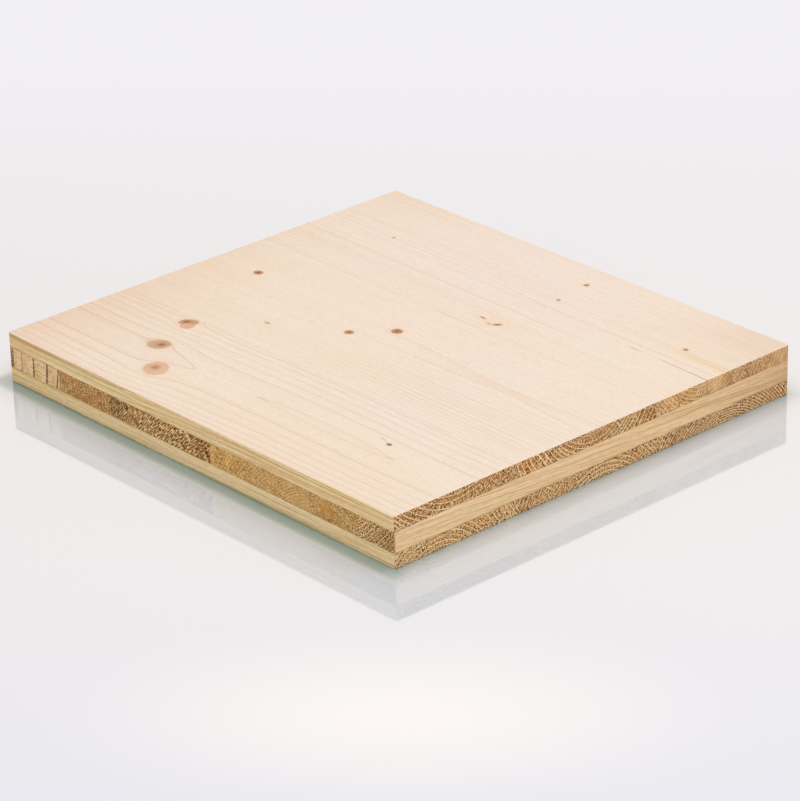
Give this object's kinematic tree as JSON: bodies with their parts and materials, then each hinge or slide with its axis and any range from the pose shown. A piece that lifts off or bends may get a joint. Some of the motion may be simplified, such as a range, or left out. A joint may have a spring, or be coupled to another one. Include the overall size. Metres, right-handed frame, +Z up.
{
  "type": "plywood sheet",
  "caption": "Cut piece of solid wood panel: outer layers of edge-glued boards over a core of strips laid crosswise, flat, with sharp sawn edges.",
  "frame": {"origin": "middle of the underside of the sheet as it lies flat", "axes": "+X along the grain of the two outer layers, +Y along the grain of the core, +Z up through the thickness"},
  "size_m": [0.29, 0.265, 0.027],
  "materials": {
    "face_wood": "sanded, unfinished",
    "core_wood": "sawn, unfinished"
  },
  "bodies": {
    "root": {"top_board_1": "face_wood", "top_board_2": "face_wood", "top_board_3": "face_wood", "bottom_board_1": "face_wood", "bottom_board_2": "face_wood", "bottom_board_3": "face_wood", "core_strip_1": "core_wood", "core_strip_2": "core_wood", "core_strip_3": "core_wood", "core_strip_4": "core_wood", "core_strip_5": "core_wood", "core_strip_6": "core_wood", "core_strip_7": "core_wood"}
  },
  "joints": []
}
